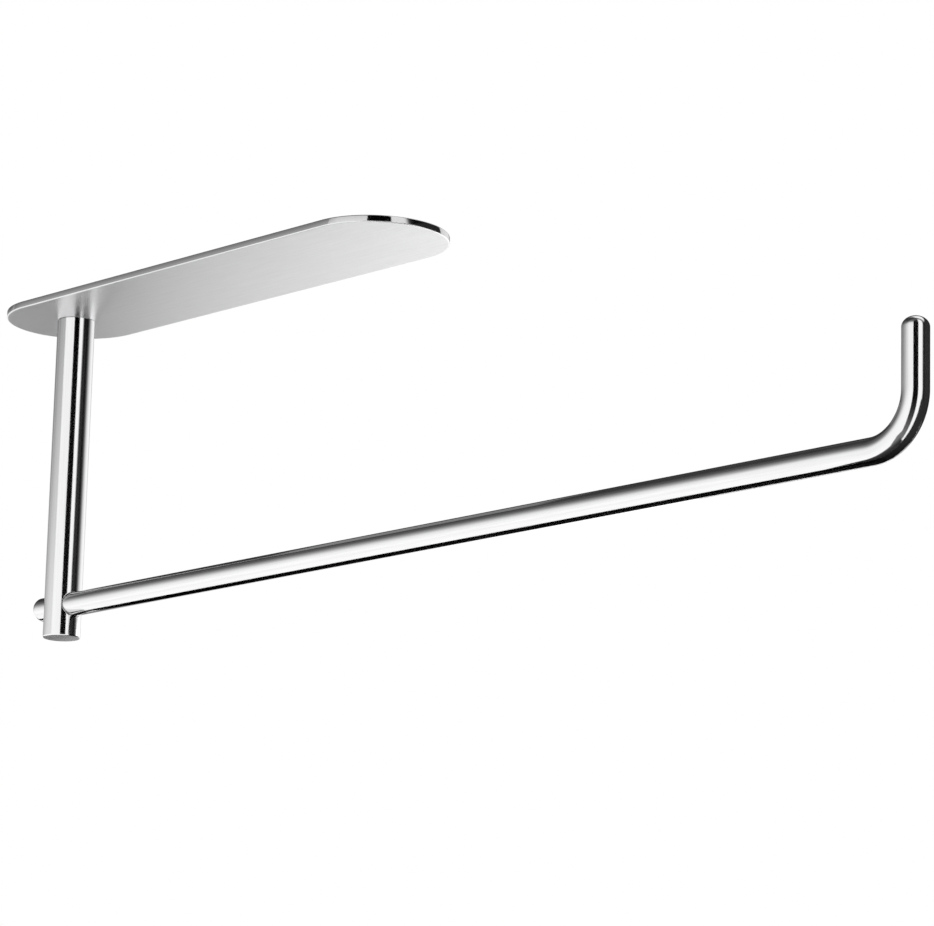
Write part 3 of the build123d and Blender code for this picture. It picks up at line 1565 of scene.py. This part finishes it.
@dataclass(frozen=True)
class Card:
    """A flat card near the holder that only reflections see.

    Attributes:
        name: the card's name.
        corners: its four corners in order.
        levels: (place, brightness) pairs, where the place is 0 along the edge from the first
            corner to the last and 1 along the edge from the second corner to the third.
        strength: how bright a level of 1 is.
    """

    name: str
    corners: tuple[tuple[float, float, float], ...]
    levels: Levels = ((0.0, 0.0), (1.0, 0.0))
    strength: float = 1.33

    def build(self) -> None:
        """Makes the card."""
        material, graph = new_material(self.name)
        share = graph.node("ShaderNodeTexCoord").out("UV")
        across, _, _ = graph.parts(share)
        level = graph.node("ShaderNodeValToRGB", {"Fac": across}, stops=self.levels)
        glow = graph.node("ShaderNodeEmission", {"Color": level, "Strength": self.strength})
        graph.node("ShaderNodeOutputMaterial", {"Surface": glow})
        made = flat_panel(self.name, self.corners, material)
        made.visible_camera = False
        made.visible_diffuse = False
        made.visible_shadow = False


def under_arm(*corners: tuple[float, float]) -> tuple[tuple[float, float, float], ...]:
    """The corners of a level card a little below the post's lower end."""
    return tuple((x, y, -0.1037) for x, y in corners)


FAR_PATCHES = (  # in the order that they are laid
    SkyPatch(95.0, 60.0, 40.0, 64.0, 24.0, 24.0, 0.9),
    SkyPatch(24.0, 26.0, 40.0, 8.0, 29.0, 18.0, 0.004),
    SkyPatch(40.0, 23.0, 56.0, 8.0, 29.0, 18.0, 0.004),
    SkyPatch(-10.5, 16.5, 9.0, 5.0, 60.0, 30.0, 0.97),
    SkyPatch(155.0, 37.0, 30.0, 33.0, 22.0, 24.0, 0.03),
)
NEAR_CARDS = (
    Card(
        "camera_flag",
        ((0.64, -0.205, -1.0), (0.64, -0.205, 0.7), (0.514, -0.666, 0.7), (0.514, -0.666, -1.0)),
        ((0.0, 0.2), (0.28, 0.13), (0.41, 0.05), (0.5, 0.01), (0.56, 0.0), (1.0, 0.0)),
    ),
    Card("arm_flag", under_arm((-0.066, 0.0003), (0.24, -0.0016), (0.24, 0.04), (-0.064, 0.04))),
    Card(
        "bend_flag",
        under_arm((0.24, -0.0016), (0.5, -0.0005), (0.5, 0.12), (0.24, 0.07)),
        ((0.0, 0.0), (0.1, 0.025), (1.0, 0.025)),
    ),
    Card(
        "bend_foot_flag",
        under_arm((0.222, -0.0016), (0.252, -0.0125), (0.262, -0.0135), (0.2615, -0.0016)),
        ((0.0, 0.01), (0.6, 0.06), (1.0, 0.16)),
    ),
    Card(
        "bend_tail_flag",
        under_arm((0.252, -0.0125), (0.257, -0.026), (0.268, -0.024), (0.262, -0.0135)),
        ((0.0, 0.16), (1.0, 0.2)),
    ),
    Card(
        "stub_flag",
        under_arm((-0.11, 0.0003), (-0.066, 0.0003), (-0.066, 0.008), (-0.11, 0.008)),
    ),
    Card(
        "plate_bounce",
        ((-0.46, 0.25, -0.45), (0.10, 0.25, -0.45), (0.10, 0.25, -0.045), (-0.46, 0.25, -0.045)),
        ((0.0, 0.0), (0.15, 0.13), (0.27, 0.34), (0.5, 0.52), (1.0, 1.0)),
        strength=2.2,
    ),
    # Painted reflection: a glowing grey card above the plate, seen only in reflections, stands in
    # for the plate's own reflection in the post and the arm.
    Card(
        "painted_plate_reflection",
        ((-0.128, -0.02, 0.06), (-0.005, -0.02, 0.06), (-0.005, 0.09, 0.06), (-0.128, 0.09, 0.06)),
        ((0.0, 0.22), (1.0, 0.18)),
    ),
    Card(
        "leg_flag",
        ((0.105, 0.093, -0.104), (0.42, 0.07, -0.104), (0.42, 0.07, 0.05), (0.105, 0.093, 0.05)),
        ((0.0, 0.03), (1.0, 0.03)),
        strength=1.0,
    ),
    Card(
        "side_wall",
        ((-0.19, -0.445, -0.40), (-0.19, -0.445, 0.5), (-1.0, -0.25, 0.5), (-1.0, -0.25, -0.40)),
        (
            (0.0, 1.0), (0.17, 1.0), (0.34, 0.88), (0.44, 0.74), (0.54, 0.49), (0.65, 0.29),
            (0.77, 0.18), (0.9, 0.10), (1.0, 0.06),
        ),
    ),
)


@dataclass
class Studio:
    """A pale room with soft light, and the camera below and in front of the holder.

    Attributes:
        white: brightness of the room's white walls in reflections.
        backdrop: brightness of the background that the camera sees.
        front_levels: the front wall's (elevation in degrees, brightness) pairs.
        side_levels: those of the wall to the far left.
        side_azimuth: bearing of that wall's middle, in degrees.
        side_half_width: half of its width, in degrees.
        side_feather: how soft its edges are, in degrees.
        floor_level: height of the floor, which is a wall cabinet's height below the holder.
        floor_reach: how far the floor goes each way.
        floor_colours: the two colours that its clouds run between.
        floor_clouds: how many clouds there are to a metre.
        camera_place: the camera's place.
        camera_azimuth: bearing that it looks from, in degrees, where 0 looks along +Y.
        camera_rise: how far above level it looks, in degrees.
        camera_roll: how far it is turned about its own axis, in degrees.
        lens: focal length in millimetres.
        sensor: the sensor's width in millimetres.
        reach: the nearest and farthest distances that the camera sees.
    """

    white: float = 1.33
    backdrop: float = 1.0
    front_levels: Levels = (
        (-90, 1.0), (10, 0.95), (25, 0.8), (40, 0.3), (55, 0.1), (90, 0.06),
    )
    side_levels: Levels = (
        (-90, 1.0), (-38, 1.0), (-25, 0.92), (0, 0.90), (8, 0.82), (16, 0.56),
        (24, 0.31), (32, 0.18), (40, 0.08), (50, 0.03), (90, 0.03),
    )
    side_azimuth: float = -160.0
    side_half_width: float = 44.0
    side_feather: float = 35.0
    floor_level: float = -1.95
    floor_reach: float = 40.0
    floor_colours: tuple[Sequence[float], Sequence[float]] = (
        (0.90, 0.90, 0.89, 1.0), (0.93, 0.93, 0.93, 1.0),
    )
    floor_clouds: float = 0.8
    camera_place: tuple[float, float, float] = (0.9065, -0.7732, -0.3292)
    camera_azimuth: float = 46.078
    camera_rise: float = 13.036
    camera_roll: float = 1.49
    lens: float = 165.96
    sensor: float = 36.0
    reach: tuple[float, float] = (0.01, 200.0)

    def build(self) -> None:
        """Makes the room, its cards, the floor and the camera."""
        self._world()
        self._floor()
        self._camera()
        for card in NEAR_CARDS:
            card.build()

    def _world(self) -> None:
        """The far walls: white to the front, and greyer overhead and to the far left."""
        world = bpy.data.worlds.new("studio")
        bpy.context.scene.world = world
        world.use_nodes = True
        graph = Graph(world.node_tree)
        x, y, z = graph.parts(graph.node("ShaderNodeTexCoord").out("Generated"))
        degrees = 180 / math.pi
        azimuth = y.angle_with(x) * degrees
        elevation = z.angle_with((x * x + y * y) ** 0.5) * degrees
        front = self._wall(graph, elevation, self.front_levels)
        side = self._wall(graph, elevation, self.side_levels)
        sideways = (azimuth - self.side_azimuth).wrapped(180.0)
        leftness = sideways.window(self.side_half_width, self.side_feather)
        walls = graph.blend(leftness, front, side)
        for patch in FAR_PATCHES:
            walls = patch.over(graph, walls, azimuth, elevation)
        studio = graph.node("ShaderNodeBackground", {"Color": walls, "Strength": self.white})
        bare = {"Color": (1, 1, 1, 1), "Strength": self.backdrop}
        backdrop = graph.node("ShaderNodeBackground", bare)
        mirrored = graph.node("ShaderNodeLightPath").out("Is Glossy Ray")
        mixed = graph.node("ShaderNodeMixShader", {0: mirrored, 1: backdrop, 2: studio})
        graph.node("ShaderNodeOutputWorld", {"Surface": mixed})

    @staticmethod
    def _wall(graph: Graph, elevation: Signal, levels: Levels) -> Signal:
        """A wall whose brightness follows (elevation in degrees, brightness) pairs."""
        stops = [((degrees + 90) / 180, level) for degrees, level in levels]
        return graph.node("ShaderNodeValToRGB", {"Fac": (elevation + 90.0) / 180.0}, stops=stops)

    def _floor(self) -> None:
        """A plain pale floor, far below, that takes no part in the reflections."""
        material, graph = new_material("pale_floor")
        clouds = graph.noise(graph.own_place(), [self.floor_clouds] * 3)
        colour = graph.blend(clouds, *self.floor_colours)
        matte = graph.node("ShaderNodeBsdfDiffuse", {"Color": colour})
        graph.node("ShaderNodeOutputMaterial", {"Surface": matte})
        turns = ((-1, -1), (1, -1), (1, 1), (-1, 1))
        corners = [(x * self.floor_reach, y * self.floor_reach, self.floor_level) for x, y in turns]
        flat_panel("floor", corners, material).visible_glossy = False

    def _camera(self) -> None:
        """The camera, at its place and angle."""
        data = bpy.data.cameras.new("camera")
        data.sensor_width = self.sensor
        data.lens = self.lens
        data.clip_start, data.clip_end = self.reach
        camera = linked("camera", data)
        bearing = Matrix.Rotation(math.radians(self.camera_azimuth), 4, "Z")
        tilt = Matrix.Rotation(math.radians(90 + self.camera_rise), 4, "X")
        roll = Matrix.Rotation(math.radians(self.camera_roll), 4, "Z")
        camera.matrix_world = Matrix.Translation(self.camera_place) @ bearing @ tilt @ roll
        bpy.context.scene.camera = camera
        bpy.context.scene.view_settings.view_transform = "Standard"


# ---- Assembly -------------------------------------------------------------------------------


def main() -> None:
    """Builds every piece and the studio round the frame."""
    logging.basicConfig(level=logging.INFO, format="%(name)s %(message)s")
    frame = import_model()
    LOG.info("frame nodes: %s", ", ".join(sorted(frame["nodes"])))
    Studio().build()

    post = Post()
    brushed = SteelFinish(
        "brushed_plate_steel", Grain.ALONG_X, brightness=0.71, roughness=0.28,
        spacing=0.25, length=12, depth=0.0008, tint=0.04, handling=0.02,
    )
    rim = SteelFinish(
        "plate_rim_steel", Grain.ALONG_X, brightness=0.55, roughness=0.06,
        spacing=0.3, length=8, depth=0.001, tint=0.05,
    )
    post_side = SteelFinish(
        "post_steel", Grain.ALONG_Z, brightness=0.74, roughness=0.1,
        spacing=0.25, length=14, depth=0.0002, tint=0.05,
    )
    post_end = SteelFinish(
        "turned_end_steel", Grain.TURNED, brightness=0.92, roughness=0.26,
        spacing=0.2, length=2, depth=0.003, tint=0.1, axis=(*post.centre, 0.0),
    )
    bar = replace(post_side, name="arm_steel", grain=Grain.ALONG_BAR)
    screw_steel = SteelFinish(
        "screw_steel", Grain.ALONG_Z, brightness=0.5, roughness=0.22,
        spacing=0.15, length=0.6, depth=0.002, tint=0.1,
    ).build()

    plate = MountingPlate().build(brushed.build(), rim.build())
    settle(plate, "mounting_plate")
    settle(MountingTape().build(FoamFinish().build()), "mounting_tape")
    settle(post.build(post_side.build(), post_end.build()), "post")
    settle(Arm().build(bar.build()), "arm")
    for screw in (post_screw(), arm_grub_screw()):
        settle(screw.build(screw_steel), screw.node)


if __name__ == "__main__":
    main()
